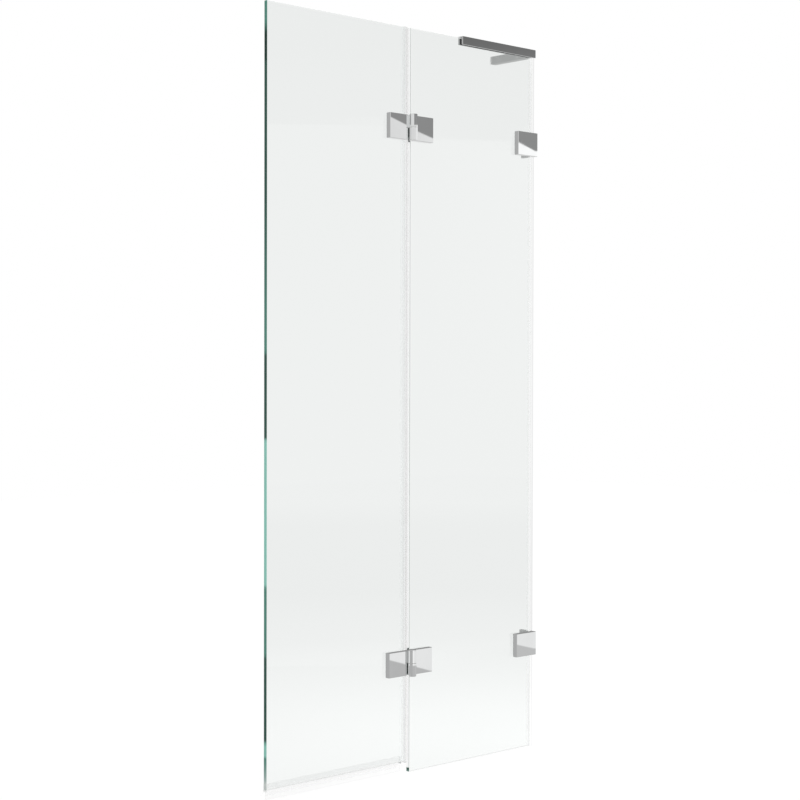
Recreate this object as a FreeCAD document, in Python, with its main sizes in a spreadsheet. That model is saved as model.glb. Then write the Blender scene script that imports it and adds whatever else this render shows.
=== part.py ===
import FreeCAD, Part
import os
import re
import Sketcher
from FreeCAD import Rotation, Vector

# A frameless two-part bath screen. A fixed glass pane stands on the bath rim beside the
# wall, and a second pane folds on two glass-to-glass hinges in front of it.
# The wall is the plane X = 0 and the panes run towards -X. Y = 0 is the middle of the
# glass, and -Y is the side that the door folds to. Z = 0 is the rim of the bath.

SIZES = {
    # the two panes
    "glassHeight": 1500.0,
    "glassThickness": 8.0,
    "screenWidth": 737.0,
    "axisFromWall": 373.2,
    "axisToEdge": 5.2,
    "wallGap": 7.0,
    "doorLift": 23.0,
    "glassArris": 0.6,
    # heights of the hinges and the wall brackets
    "upperFixingDrop": 201.5,
    "lowerFixing": 223.0,
    # hinge leaves
    "plateHeight": 50.0,
    "plateThickness": 10.0,
    "plateChamfer": 0.6,
    "gasketThickness": 1.0,
    "gasketInset": 0.5,
    "leafInner": 15.6,
    "leafOuter": 59.5,
    "bevelInner": 9.3,
    "bevelDrop": 1.5,
    "webInner": 3.0,
    # hinge barrel
    "axisForward": 18.8,
    "knuckleRadius": 8.0,
    "knuckleGap": 2.5,
    "pinRadius": 4.0,
    "bushWall": 1.5,
    "runningFit": 0.05,
    "pressFit": 0.02,
    "axialPlay": 0.1,
    "washerThickness": 1.0,
    "washerRadius": 7.6,
    "capRadius": 7.8,
    "capThickness": 1.75,
    "capChamfer": 0.5,
    "spigotRadius": 2.0,
    "spigotLength": 6.0,
    # countersunk bolts that hold the plates to the glass
    "boltRadius": 2.9,
    "boltHeadRadius": 7.4,
    "boltSpacing": 26.0,
    "boltDepth": 7.0,
    "boltSocket": 2.0,
    "boltSocketDepth": 2.5,
    "boltFit": 0.1,
    "sleeveWall": 2.4,
    "sleeveFit": 0.1,
    # wall brackets
    "bracketReach": 60.0,
    "bracketBolt": 34.0,
    "flangeThickness": 6.0,
    "flangeReach": 31.0,
    "wallHoleRadius": 3.0,
    "wallSinkRadius": 6.0,
    "wallHoleSide": 18.5,
    "wallHoleSpacing": 28.0,
    # wall brace over the top edge
    "braceLength": 222.5,
    "braceWidth": 17.7,
    "braceHeight": 16.8,
    "braceCrown": 3.4,
    "braceChamfer": 0.6,
    "linerThickness": 0.8,
    "legThickness": 14.4,
    "legReach": 114.7,
    "legHoleNear": 40.0,
    "legHoleSpacing": 56.0,
    "legHoleRadius": 2.75,
    "legSinkRadius": 5.6,
    "grubRadius": 2.4,
    "grubLength": 3.4,
    "grubSocket": 1.3,
    "grubSocketDepth": 1.8,
    "grubFirst": 55.0,
    "grubSpacing": 110.0,
    "joinerRadius": 2.0,
    "joinerHeadRadius": 3.9,
    "joinerLength": 14.0,
    # vertical seal between the panes
    "edgeSealGrip": 11.7,
    "edgeSealWall": 0.85,
    "edgeSealWeb": 2.7,
    "edgeSealFoot": 20.0,
    "finThickness": 0.9,
    "finGap": 0.4,
    "sealFit": 0.05,
    "sealClearance": 0.5,
    # seal under the door
    "bottomSealHeight": 15.0,
    "bottomSealWall": 1.2,
    "bottomSealWeb": 2.9,
    "lipHeadHalf": 4.0,
    "lipHeadThickness": 1.0,
    "lipThickness": 1.2,
    "lipFoot": 4.0,
    "lipFillet": 1.0,
    "deflectorReach": 12.0,
    "deflectorFoot": 9.0,
    "deflectorCurve": 24.0,
    # strips between the fixed pane and the wall
    "wallSealGrip": 6.0,
    "wallSealWall": 0.9,
    "wallSealWeb": 1.1,
}

doc = FreeCAD.newDocument("BathScreen")
sheet = doc.addObject("Spreadsheet::Sheet", "Sizes")
for row, (alias, value) in enumerate(SIZES.items(), start=1):
    sheet.set(f"A{row}", alias)
    sheet.set(f"B{row}", str(value))
    sheet.setAlias(f"B{row}", alias)
doc.recompute()

# Places that several pieces share, as expressions of the driving sizes
halfGlass = "glassThickness/2"
plateBack = "(glassThickness/2 + gasketThickness)"
plateFront = "(glassThickness/2 + gasketThickness + plateThickness)"
leafBolt = "(leafInner + leafOuter)/2"
knuckleStart = "(washerThickness/2 + axialPlay)"
bushRadius = "(pinRadius + runningFit + bushWall)"
holeRadius = "(boltRadius + boltFit + sleeveWall + sleeveFit)"
sinkRadius = "(boltHeadRadius + boltFit + sleeveWall + sleeveFit)"
fixedEdge = "(axisFromWall - axisToEdge)"
doorEdge = "(axisFromWall + axisToEdge)"
braceSlot = "(glassThickness/2 + linerThickness)"
braceFoot = "(glassHeight + braceCrown - braceHeight)"
slotMiddle = "((braceCrown - braceHeight + linerThickness)/2)"
doorSealEnd = "(axisFromWall + axisToEdge + edgeSealGrip + sealClearance)"

# Half and the height of a triangle with sides of one, for the six corners of a socket
hexHalf = 0.5
hexSide = 0.8660254
closeEnough = 0.001      # mm
leastCut = 0.01          # mm3
sinkAngle = 90.0         # degrees
subParts = []


def bound(expression):
    """The same expression with each size read from the sheet."""
    return re.sub("[A-Za-z]+", lambda word: f"Sizes.{word.group()}", expression)


def size(expression):
    return float(sheet.evalExpression(bound(expression)))


def newBody(label, x="0", y="0", z="0", turn=None):
    body = doc.addObject("PartDesign::Body", label)
    body.Label = label
    if turn:
        body.Placement = FreeCAD.Placement(Vector(0, 0, 0), turn)
    for axis, distance in zip("xyz", (x, y, z)):
        body.setExpression(f"Placement.Base.{axis}", bound(distance))
    subParts.append(body)
    return body


def newSketch(body, name, plane, offset="0"):
    sketch = body.newObject("Sketcher::SketchObject", name)
    support = next(f for f in body.Origin.OriginFeatures if f.Role == plane)
    sketch.AttachmentSupport = [(support, "")]
    sketch.MapMode = "FlatFace"
    sketch.setExpression("AttachmentOffset.Base.z", bound(offset))
    return sketch


def place(sketch, geometry, point, x, y):
    """Ties a point of the sketch to the origin by its two coordinates."""
    for kind, expression in (("DistanceX", x), ("DistanceY", y)):
        limit = Sketcher.Constraint(kind, -1, 1, geometry, point, size(expression))
        sketch.setExpression(f"Constraints[{sketch.addConstraint(limit)}]", bound(expression))


def arcBetween(here, there, radius):
    """The short arc that leaves the line from here to there on its right-hand side."""
    chord = there - here
    middle = (here + there) * 0.5
    aside = Vector(-chord.y, chord.x, 0).normalize()
    centre = middle + aside * (radius ** 2 - (chord.Length / 2) ** 2) ** 0.5
    circle = Part.Circle(centre, Vector(0, 0, 1), radius)
    return Part.ArcOfCircle(circle, circle.parameter(here), circle.parameter(there))


def addOutline(sketch, points, bends=None):
    """A closed outline. bends gives the radius of the arc that leaves a point, by its
    number: to the right of the way round, or to the left where it starts with a minus."""
    bends = bends or {}
    first = sketch.GeometryCount
    corners = [Vector(size(x), size(y), 0) for x, y in points]
    ends = []
    for step, (here, there) in enumerate(zip(corners, corners[1:] + corners[:1])):
        bend = bends.get(step)
        leftwards = bool(bend) and bend.startswith("-")
        if bend:
            start, stop = (there, here) if leftwards else (here, there)
            radius = bend.lstrip("-")
            geometry = sketch.addGeometry(arcBetween(start, stop, size(radius)), False)
            limit = Sketcher.Constraint("Radius", geometry, size(radius))
            number = sketch.addConstraint(limit)
            sketch.setExpression(f"Constraints[{number}]", bound(radius))
        else:
            sketch.addGeometry(Part.LineSegment(here, there), False)
        ends.append((2, 1) if leftwards else (1, 2))
    for step, (x, y) in enumerate(points):
        before = (step - 1) % len(points)
        sketch.addConstraint(Sketcher.Constraint(
            "Coincident", first + before, ends[before][1], first + step, ends[step][0]))
        place(sketch, first + step, ends[step][0], x, y)


def addCircle(sketch, x, y, radius):
    circle = Part.Circle(Vector(size(x), size(y), 0), Vector(0, 0, 1), size(radius))
    geometry = sketch.addGeometry(circle, False)
    place(sketch, geometry, 3, x, y)
    limit = Sketcher.Constraint("Radius", geometry, size(radius))
    sketch.setExpression(f"Constraints[{sketch.addConstraint(limit)}]", bound(radius))


def pad(body, name, sketch, length, symmetric=False, backwards=False):
    feature = body.newObject("PartDesign::Pad", name)
    feature.Profile = sketch
    feature.setExpression("Length", bound(length))
    if symmetric:
        feature.SideType = "Symmetric"
    feature.Reversed = backwards
    doc.recompute()
    return feature


def pocket(body, name, sketch, length=None, symmetric=False, backwards=False):
    feature = body.newObject("PartDesign::Pocket", name)
    feature.Profile = sketch
    if length:
        feature.setExpression("Length", bound(length))
    else:
        feature.Type = "ThroughAll"
    if symmetric:
        feature.SideType = "Symmetric"
    feature.Reversed = backwards
    cutSome(body, feature)
    return feature


def cutSome(body, feature):
    before = feature.BaseFeature.Shape.Volume
    doc.recompute()
    if not feature.Shape.Volume < before - leastCut:
        raise RuntimeError(f"{body.Label}: {feature.Label} cuts nothing")


def revolve(body, name, plane, points):
    """Turns an outline of radius and height about the second axis of its plane."""
    sketch = newSketch(body, f"{name}Section", plane)
    addOutline(sketch, points)
    feature = body.newObject("PartDesign::Revolution", name)
    feature.Profile = sketch
    feature.ReferenceAxis = (sketch, ["V_Axis"])
    feature.Angle = 360
    doc.recompute()
    return feature


def drill(body, name, plane, offset, centres, radius, depth=None, sink=None, backwards=False):
    sketch = newSketch(body, f"{name}Centres", plane, offset)
    for x, y in centres:
        addCircle(sketch, x, y, radius)
    doc.recompute()
    feature = body.newObject("PartDesign::Hole", name)
    feature.Profile = sketch
    doc.recompute()
    feature.ThreadType = "None"
    feature.setExpression("Diameter", bound(f"2*{radius}"))
    feature.Reversed = backwards
    if depth:
        feature.DepthType = "Dimension"
        feature.DrillPoint = "Flat"
        feature.setExpression("Depth", bound(depth))
    else:
        feature.DepthType = "ThroughAll"
    if sink:
        feature.HoleCutType = "Countersink"
        feature.HoleCutCustomValues = True
        feature.setExpression("HoleCutDiameter", bound(f"2*{sink}"))
        feature.HoleCutCountersinkAngle = sinkAngle
    cutSome(body, feature)


def chamfer(body, name, reach, wanted):
    base = body.Tip
    edges = [f"Edge{n}" for n, edge in enumerate(base.Shape.Edges, start=1) if wanted(edge)]
    feature = body.newObject("PartDesign::Chamfer", name)
    feature.Base = (base, edges)
    feature.setExpression("Size", bound(reach))
    cutSome(body, feature)


def repeat(body, name, originals, role, length, backwards=False):
    feature = body.newObject("PartDesign::LinearPattern", name)
    feature.Originals = originals
    axis = next(f for f in body.Origin.OriginFeatures if f.Role == role)
    feature.Direction = (axis, [""])
    feature.Mode = "Extent"
    feature.Reversed = backwards
    feature.setExpression("Length", bound(length))
    feature.Occurrences = 2
    body.Tip = feature
    doc.recompute()


def near(value, target):
    return abs(value - target) < closeEnough


def hexagon(sketch, x, y, radius):
    """A socket, as six corners on a circle of the given radius."""
    across = f"{radius}*{hexHalf}"
    side = f"{radius}*{hexSide}"
    addOutline(sketch, [
        (f"{x} + {radius}", y),
        (f"{x} + {across}", f"{y} + {side}"),
        (f"{x} - {across}", f"{y} + {side}"),
        (f"{x} - {radius}", y),
        (f"{x} - {across}", f"{y} - {side}"),
        (f"{x} + {across}", f"{y} - {side}"),
    ])


def paired(middle, spacing):
    return (f"{middle} - {spacing}/2", f"{middle} + {spacing}/2")


# ---- Panes of glass ----

def pane(label, left, right, bottom, top, bolts):
    body = newBody(label)
    sketch = newSketch(body, "paneOutline", "XZ_Plane")
    addOutline(sketch, [(left, bottom), (right, bottom), (right, top), (left, top)])
    pad(body, "sheetOfGlass", sketch, "glassThickness", symmetric=True)
    flat = size(halfGlass)
    chamfer(body, "arris", "glassArris", lambda edge: all(
        near(abs(vertex.Y), flat) for vertex in edge.Vertexes) and near(
        edge.Vertexes[0].Y, edge.Vertexes[1].Y))
    drill(body, "boltHoles", "XZ_Plane", f"-{halfGlass}", bolts, holeRadius,
          sink=sinkRadius, backwards=True)


def boltPlaces(x, middles):
    return [(x, z) for middle in middles for z in paired(middle, "boltSpacing")]


fixings = {"upper": "(glassHeight - upperFixingDrop)", "lower": "lowerFixing"}
hingeBolts = {
    "fixed": boltPlaces(f"-axisFromWall + {leafBolt}", fixings.values()),
    "door": boltPlaces(f"-axisFromWall - {leafBolt}", fixings.values()),
}
bracketBolts = [("-bracketBolt", height) for height in fixings.values()]
pane("fixed_glass", f"-{fixedEdge}", "-wallGap", "0", "glassHeight",
     hingeBolts["fixed"] + bracketBolts)
pane("door_glass", "-screenWidth", f"-{doorEdge}", "doorLift", "glassHeight",
     hingeBolts["door"])


# ---- Fasteners through the glass ----

def glassBolts(label, x, z, pair=True):
    """Flush bolts driven from the far face of the glass, one or two above each other."""
    body = newBody(label, x, "0", f"{z} - boltSpacing/2" if pair else z)
    head = f"({halfGlass} - boltFit)"
    neck = f"({halfGlass} - boltFit - boltHeadRadius + boltRadius)"
    bolt = revolve(body, "bolt", "XY_Plane", [
        ("0", head),
        ("boltHeadRadius", head),
        ("boltRadius", neck),
        ("boltRadius", f"-{plateBack} - boltDepth"),
        ("0", f"-{plateBack} - boltDepth"),
    ])
    socketSketch = newSketch(body, "socketOutline", "XZ_Plane", f"-{head}")
    hexagon(socketSketch, "0", "0", "boltSocket")
    socket = pocket(body, "socket", socketSketch, "boltSocketDepth", backwards=True)
    if pair:
        repeat(body, "pairOfBolts", [bolt, socket], "Z_Axis", "boltSpacing")


def boltSleeves(label, x, z, pair=True):
    """The plastic sleeves that keep the bolts off the glass."""
    body = newBody(label, x, "0", f"{z} - boltSpacing/2" if pair else z)
    bore = "(boltRadius + boltFit)"
    cone = "(boltHeadRadius + boltFit)"
    outer = "(boltRadius + boltFit + sleeveWall)"
    outerCone = "(boltHeadRadius + boltFit + sleeveWall)"
    sleeve = revolve(body, "sleeve", "XY_Plane", [
        (bore, f"-{halfGlass}"),
        (outer, f"-{halfGlass}"),
        (outer, f"{halfGlass} - {outerCone} + {outer}"),
        (outerCone, halfGlass),
        (cone, halfGlass),
        (bore, f"{halfGlass} - {cone} + {bore}"),
    ])
    if pair:
        repeat(body, "pairOfSleeves", [sleeve], "Z_Axis", "boltSpacing")


def gasket(label, x, z, inner, outer, bolts, turn=None):
    """The thin sheet between a plate and the glass, with its bolt holes."""
    body = newBody(label, x, "0", z, turn)
    sketch = newSketch(body, "gasketOutline", "XZ_Plane", halfGlass)
    low = "-plateHeight/2 + gasketInset"
    high = "plateHeight/2 - gasketInset"
    addOutline(sketch, [
        (f"-{outer}", low),
        (f"-{inner}", low),
        (f"-{inner}", high),
        (f"-{outer}", high),
    ])
    for across, height in bolts:
        addCircle(sketch, across, height, "(boltRadius + boltFit)")
    pad(body, "gasketSheet", sketch, "gasketThickness")


# ---- Hinges ----
# Each piece stands in its hinge's own frame: the hinge axis in X, the middle of the glass
# in Y and the middle of the plates in Z. The fixed leaf is the door leaf turned half
# round about Y, so that its knuckle is the lower one.

halfTurn = Rotation(Vector(0, 1, 0), 180)


def hingeLeaf(label, z, turn=None):
    body = newBody(label, "-axisFromWall", "0", z, turn)
    plan = newSketch(body, "leafPlan", "XY_Plane")
    bevelled = f"-({plateFront} - bevelDrop)"
    addOutline(plan, [
        ("-leafOuter", f"-{plateBack}"),
        ("-leafOuter", f"-{plateFront}"),
        ("-leafInner", f"-{plateFront}"),
        ("-bevelInner", bevelled),
        ("-webInner", bevelled),
        ("-webInner", f"-{plateBack}"),
    ])
    pad(body, "leafPlate", plan, "plateHeight", symmetric=True)
    front = size(bevelled) + closeEnough
    top = size("plateHeight/2")
    outer = size("-leafOuter")

    def onTheFace(edge):
        ends = edge.Vertexes
        facing = all(end.Y < front for end in ends)
        level = all(near(abs(end.Z), top) for end in ends) and near(ends[0].Z, ends[1].Z)
        reached = all(end.X < size("-bevelInner") + closeEnough for end in ends)
        outside = all(near(end.X, outer) for end in ends)
        return facing and reached and (level or outside)

    chamfer(body, "faceChamfer", "plateChamfer", onTheFace)
    barrel = newSketch(body, "knucklePlan", "XY_Plane", knuckleStart)
    addCircle(barrel, "0", "-axisForward", "knuckleRadius")
    pad(body, "knuckle", barrel, f"plateHeight/2 - {knuckleStart}")
    notch = newSketch(body, "notchOutline", "XZ_Plane")
    slit = "-(knuckleRadius + knuckleGap)"
    addOutline(notch, [
        (slit, "-plateHeight"),
        ("knuckleRadius", "-plateHeight"),
        ("knuckleRadius", knuckleStart),
        (slit, knuckleStart),
    ])
    pocket(body, "notch", notch, symmetric=True)
    bore = newSketch(body, "borePlan", "XY_Plane")
    addCircle(bore, "0", "-axisForward", f"({bushRadius} + pressFit)")
    pocket(body, "bushBore", bore, symmetric=True)
    drill(body, "threadedHoles", "XZ_Plane", plateBack,
          boltPlaces(f"-{leafBolt}", ["0"]), "(boltRadius + boltFit)",
          depth="boltDepth + boltFit", backwards=True)


def bush(label, z, turn=None):
    body = newBody(label, "-axisFromWall", "-axisForward", z, turn)
    revolve(body, "bush", "XZ_Plane", [
        ("pinRadius + runningFit", knuckleStart),
        (bushRadius, knuckleStart),
        (bushRadius, "plateHeight/2"),
        ("pinRadius + runningFit", "plateHeight/2"),
    ])


def hingePin(label, z):
    """The shaft with its lower head, drilled at the top for the cap's spigot."""
    body = newBody(label, "-axisFromWall", "-axisForward", z)
    under = "-(plateHeight/2 + axialPlay)"
    foot = "-(plateHeight/2 + axialPlay + capThickness)"
    drilled = "(spigotRadius + pressFit)"
    revolve(body, "pin", "XZ_Plane", [
        ("0", foot),
        ("capRadius - capChamfer", foot),
        ("capRadius", f"{foot} + capChamfer"),
        ("capRadius", under),
        ("pinRadius", under),
        ("pinRadius", "plateHeight/2"),
        (drilled, "plateHeight/2"),
        (drilled, "plateHeight/2 - spigotLength - axialPlay"),
        ("0", "plateHeight/2 - spigotLength - axialPlay"),
    ])


def pinCap(label, z):
    body = newBody(label, "-axisFromWall", "-axisForward", z)
    seat = "(plateHeight/2 + axialPlay)"
    revolve(body, "cap", "XZ_Plane", [
        ("0", f"{seat} - spigotLength"),
        ("spigotRadius", f"{seat} - spigotLength"),
        ("spigotRadius", seat),
        ("capRadius", seat),
        ("capRadius", f"{seat} + capThickness - capChamfer"),
        ("capRadius - capChamfer", f"{seat} + capThickness"),
        ("0", f"{seat} + capThickness"),
    ])


def thrustWasher(label, z):
    body = newBody(label, "-axisFromWall", "-axisForward", z)
    ring = newSketch(body, "washerPlan", "XY_Plane")
    addCircle(ring, "0", "0", "washerRadius")
    addCircle(ring, "0", "0", "(pinRadius + runningFit)")
    pad(body, "washer", ring, "washerThickness", symmetric=True)


for position, height in fixings.items():
    hinge = f"hinge_{position}"
    for leaf, turn in (("door", None), ("fixed", halfTurn)):
        side = "-" if leaf == "door" else "+"
        boltX = f"-axisFromWall {side} {leafBolt}"
        hingeLeaf(f"{hinge}_{leaf}_leaf", height, turn)
        bush(f"{hinge}_{leaf}_bush", height, turn)
        gasket(f"{hinge}_{leaf}_gasket", "-axisFromWall", height, "leafInner", "leafOuter",
               boltPlaces(f"-{leafBolt}", ["0"]), turn)
        glassBolts(f"{hinge}_{leaf}_bolts", boltX, height)
        boltSleeves(f"{hinge}_{leaf}_sleeves", boltX, height)
    hingePin(f"{hinge}_pin", height)
    pinCap(f"{hinge}_pin_cap", height)
    thrustWasher(f"{hinge}_washer", height)


# ---- Wall brackets ----

def wallBracket(label, z):
    body = newBody(label, "0", "0", z)
    plan = newSketch(body, "bracketPlan", "XY_Plane")
    addOutline(plan, [
        ("-bracketReach", f"-{plateBack}"),
        ("-bracketReach", f"-{plateFront}"),
        ("0", f"-{plateFront}"),
        ("0", "flangeReach"),
        ("-flangeThickness", "flangeReach"),
        ("-flangeThickness", f"-{plateBack}"),
    ])
    pad(body, "bracketPlate", plan, "plateHeight", symmetric=True)
    front = size(f"-{plateFront}")
    outer = size("-bracketReach")

    def onTheFace(edge):
        ends = edge.Vertexes
        facing = all(near(end.Y, front) for end in ends)
        return facing and (near(ends[0].Z, ends[1].Z) or all(near(end.X, outer) for end in ends))

    chamfer(body, "faceChamfer", "plateChamfer", onTheFace)
    drill(body, "threadedHole", "XZ_Plane", plateBack, [("-bracketBolt", "0")],
          "(boltRadius + boltFit)", depth="boltDepth + boltFit", backwards=True)
    drill(body, "wallHoles", "YZ_Plane", "-flangeThickness",
          [("wallHoleSide", height) for height in paired("0", "wallHoleSpacing")],
          "wallHoleRadius", sink="wallSinkRadius", backwards=True)


for position, height in fixings.items():
    bracket = f"bracket_{position}"
    wallBracket(f"{bracket}_body", height)
    gasket(f"{bracket}_gasket", "0", height, "wallGap", "bracketReach", [("-bracketBolt", "0")])
    glassBolts(f"{bracket}_bolts", "-bracketBolt", height, pair=False)
    boltSleeves(f"{bracket}_sleeves", "-bracketBolt", height, pair=False)


# ---- Brace over the top edge ----
# Its pieces stand in one frame: the wall, the middle of the glass and the top of the glass.

def braceChannel():
    body = newBody("brace_channel", "0", "0", "glassHeight")
    half = "braceWidth/2"
    foot = "(braceCrown - braceHeight)"
    section = newSketch(body, "channelSection", "YZ_Plane")
    addOutline(section, [
        (f"-{half}", foot),
        (f"-{half}", "braceCrown"),
        (half, "braceCrown"),
        (half, foot),
        (braceSlot, foot),
        (braceSlot, "linerThickness"),
        (f"-{braceSlot}", "linerThickness"),
        (f"-{braceSlot}", foot),
    ])
    pad(body, "channel", section, "braceLength", backwards=True)
    crown = size("braceCrown")
    outside = size(half)
    chamfer(body, "crownChamfer", "braceChamfer", lambda edge: all(
        near(end.Z, crown) and near(abs(end.Y), outside) for end in edge.Vertexes) and near(
        edge.Vertexes[0].Y, edge.Vertexes[1].Y))
    grubs = newSketch(body, "grubHoles", "XZ_Plane", f"-{half}")
    addCircle(grubs, "-grubFirst", f"{foot}/2", "(grubRadius + boltFit)")
    first = pocket(body, "grubHole", grubs, f"braceWidth/2 - {braceSlot} + boltFit", backwards=True)
    repeat(body, "grubHolePair", [first], "X_Axis", "grubSpacing", backwards=True)
    drill(body, "joinerHole", "XZ_Plane", f"-{braceSlot}", [("-legThickness/2", slotMiddle)],
          "(joinerRadius + boltFit)", sink="(joinerHeadRadius + boltFit)")


def braceLiner():
    body = newBody("brace_liner", "0", "0", "glassHeight")
    foot = "(braceCrown - braceHeight)"
    section = newSketch(body, "linerSection", "YZ_Plane", "-legThickness")
    addOutline(section, [
        (f"-{braceSlot}", foot),
        (f"-{braceSlot}", "linerThickness"),
        (braceSlot, "linerThickness"),
        (braceSlot, foot),
        (halfGlass, foot),
        (halfGlass, "0"),
        (f"-{halfGlass}", "0"),
        (f"-{halfGlass}", foot),
    ])
    pad(body, "liner", section, "braceLength - legThickness - linerThickness", backwards=True)


def braceLeg():
    body = newBody("brace_leg", "0", "0", "glassHeight")
    foot = "(braceCrown - braceHeight)"
    section = newSketch(body, "legSection", "XZ_Plane", "-braceWidth/2")
    addOutline(section, [
        ("-legThickness", foot),
        ("-legThickness", "braceCrown"),
        ("0", "braceCrown"),
        ("0", foot),
    ])
    pad(body, "leg", section, "legReach - braceWidth/2", backwards=True)
    crown = size("braceCrown")
    face = size("-legThickness")
    chamfer(body, "crownChamfer", "braceChamfer", lambda edge: all(
        near(end.Z, crown) and near(end.X, face) for end in edge.Vertexes))
    drill(body, "wallHoles", "YZ_Plane", "-legThickness",
          [("legHoleNear", f"{foot}/2"), ("legHoleNear + legHoleSpacing", f"{foot}/2")],
          "legHoleRadius", sink="legSinkRadius", backwards=True)
    drill(body, "joinerHole", "XZ_Plane", "-braceWidth/2", [("-legThickness/2", slotMiddle)],
          "(joinerRadius + boltFit)", depth="joinerLength")


def braceGrubs():
    """Grub screws in the far wall of the channel, which press the liner to the glass."""
    body = newBody("brace_grub_screws", "-grubFirst", "0",
                   "glassHeight + (braceCrown - braceHeight)/2")
    grub = revolve(body, "grub", "XY_Plane", [
        ("0", braceSlot),
        ("grubRadius", braceSlot),
        ("grubRadius", f"{braceSlot} + grubLength"),
        ("0", f"{braceSlot} + grubLength"),
    ])
    socketSketch = newSketch(body, "socketOutline", "XZ_Plane", f"-({braceSlot} + grubLength)")
    hexagon(socketSketch, "0", "0", "grubSocket")
    socket = pocket(body, "socket", socketSketch, "grubSocketDepth", backwards=True)
    repeat(body, "grubPair", [grub, socket], "X_Axis", "grubSpacing", backwards=True)


def braceJoiner():
    """The countersunk screw from the channel's slot into the end of the leg."""
    body = newBody("brace_joint_screws", "-legThickness/2", "0", f"glassHeight + {slotMiddle}")
    head = f"({braceSlot} + boltFit)"
    neck = f"({braceSlot} + boltFit + joinerHeadRadius - joinerRadius)"
    revolve(body, "screw", "XY_Plane", [
        ("0", head),
        ("joinerHeadRadius", head),
        ("joinerRadius", neck),
        ("joinerRadius", f"{head} + joinerLength"),
        ("0", f"{head} + joinerLength"),
    ])


braceChannel()
braceLiner()
braceLeg()
braceGrubs()
braceJoiner()


# ---- Seals ----

def edgeSeal():
    """Grips the door's joint edge, and its fin closes the gap to the fixed pane."""
    body = newBody("door_edge_seal", "-axisFromWall", "0", "edgeSealFoot")
    inner = f"({halfGlass} + sealFit)"
    outer = f"({halfGlass} + sealFit + edgeSealWall)"
    grip = "-(axisToEdge + edgeSealGrip)"
    seat = "-(axisToEdge - sealFit)"
    web = "-(axisToEdge - edgeSealWeb)"
    tip = "(axisToEdge - finGap)"
    plan = newSketch(body, "sealPlan", "XY_Plane")
    addOutline(plan, [
        (grip, f"-{outer}"),
        (web, f"-{outer}"),
        (web, "-finThickness"),
        (tip, "-finThickness/2"),
        (tip, "finThickness/2"),
        (web, "finThickness"),
        (web, outer),
        (grip, outer),
        (grip, inner),
        (seat, inner),
        (seat, f"-{inner}"),
        (grip, f"-{inner}"),
    ])
    pad(body, "sealProfile", plan, "glassHeight - edgeSealFoot")
    notches = newSketch(body, "hingeNotches", "XZ_Plane", plateBack)
    for height in fixings.values():
        low = f"{height} - edgeSealFoot - plateHeight/2 - sealClearance"
        high = f"{height} - edgeSealFoot + plateHeight/2 + sealClearance"
        start = f"{grip} - sealClearance"
        addOutline(notches, [(start, low), (seat, low), (seat, high), (start, high)])
    pocket(body, "notch", notches, "gasketThickness - sealFit")


def bottomSeal():
    body = newBody("door_bottom_seal", "-screenWidth", "0", "doorLift")
    inner = f"({halfGlass} + sealFit)"
    outer = f"({halfGlass} + sealFit + bottomSealWall)"
    foot = "-(bottomSealWeb + sealFit)"
    rim = "(bottomSealHeight - bottomSealWeb - sealFit)"
    section = newSketch(body, "sealSection", "YZ_Plane")
    addOutline(section, [
        (f"-{outer}", foot),
        (outer, foot),
        (outer, rim),
        (inner, rim),
        (inner, "-sealFit"),
        (f"-{inner}", "-sealFit"),
        (f"-{inner}", rim),
        (f"-{outer}", rim),
    ])
    pad(body, "sealProfile", section, f"screenWidth - {doorSealEnd}")


def bottomLip():
    """The soft wiper over the bath rim, with a deflector on the wet side."""
    body = newBody("door_bottom_lip", "-screenWidth", "0", "doorLift")
    top = "-(bottomSealWeb + sealFit)"
    under = "-(bottomSealWeb + sealFit + lipHeadThickness)"
    section = newSketch(body, "lipSection", "YZ_Plane")
    addOutline(section, [
        ("-lipHeadHalf", top),
        ("lipHeadHalf", top),
        ("deflectorReach", "deflectorFoot - doorLift"),
        ("deflectorReach - lipThickness", "deflectorFoot - doorLift"),
        ("lipHeadHalf - lipThickness", under),
        ("lipThickness/2 + lipFillet", under),
        ("lipThickness/2", f"{under} - lipFillet"),
        ("lipThickness/2", "lipFoot - doorLift"),
        ("-lipThickness/2", "lipFoot - doorLift"),
        ("-lipThickness/2", f"{under} - lipFillet"),
        ("-lipThickness/2 - lipFillet", under),
        ("-lipHeadHalf", under),
    ], bends={1: "-deflectorCurve", 3: "(deflectorCurve - lipThickness)", 5: "lipFillet",
              9: "lipFillet"})
    pad(body, "lipProfile", section, f"screenWidth - {doorSealEnd}")


def wallSeal(label, bottom, top):
    """A strip on the wall edge of the pane, whose two thin sides reach the wall."""
    body = newBody(label, "0", "0", bottom)
    inner = f"({halfGlass} + sealFit)"
    outer = f"({halfGlass} + sealFit + wallSealWall)"
    grip = "-(wallGap + wallSealGrip)"
    seat = "-(wallGap - sealFit)"
    web = "-(wallGap - sealFit - wallSealWeb)"
    plan = newSketch(body, "sealPlan", "XY_Plane")
    addOutline(plan, [
        (grip, f"-{outer}"),
        ("0", f"-{outer}"),
        ("0", f"-{inner}"),
        (web, f"-{inner}"),
        (web, inner),
        ("0", inner),
        ("0", outer),
        (grip, outer),
        (grip, inner),
        (seat, inner),
        (seat, f"-{inner}"),
        (grip, f"-{inner}"),
    ])
    pad(body, "sealProfile", plan, f"({top}) - ({bottom})")


edgeSeal()
bottomSeal()
bottomLip()
halfBracket = "(plateHeight/2 + sealClearance)"
wallSeal("wall_seal_lower", "0", f"lowerFixing - {halfBracket}")
wallSeal("wall_seal_middle", f"lowerFixing + {halfBracket}", f"{fixings['upper']} - {halfBracket}")
wallSeal("wall_seal_upper", f"{fixings['upper']} + {halfBracket}", f"{braceFoot} - sealClearance")


# ---- Check and write ----

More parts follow.
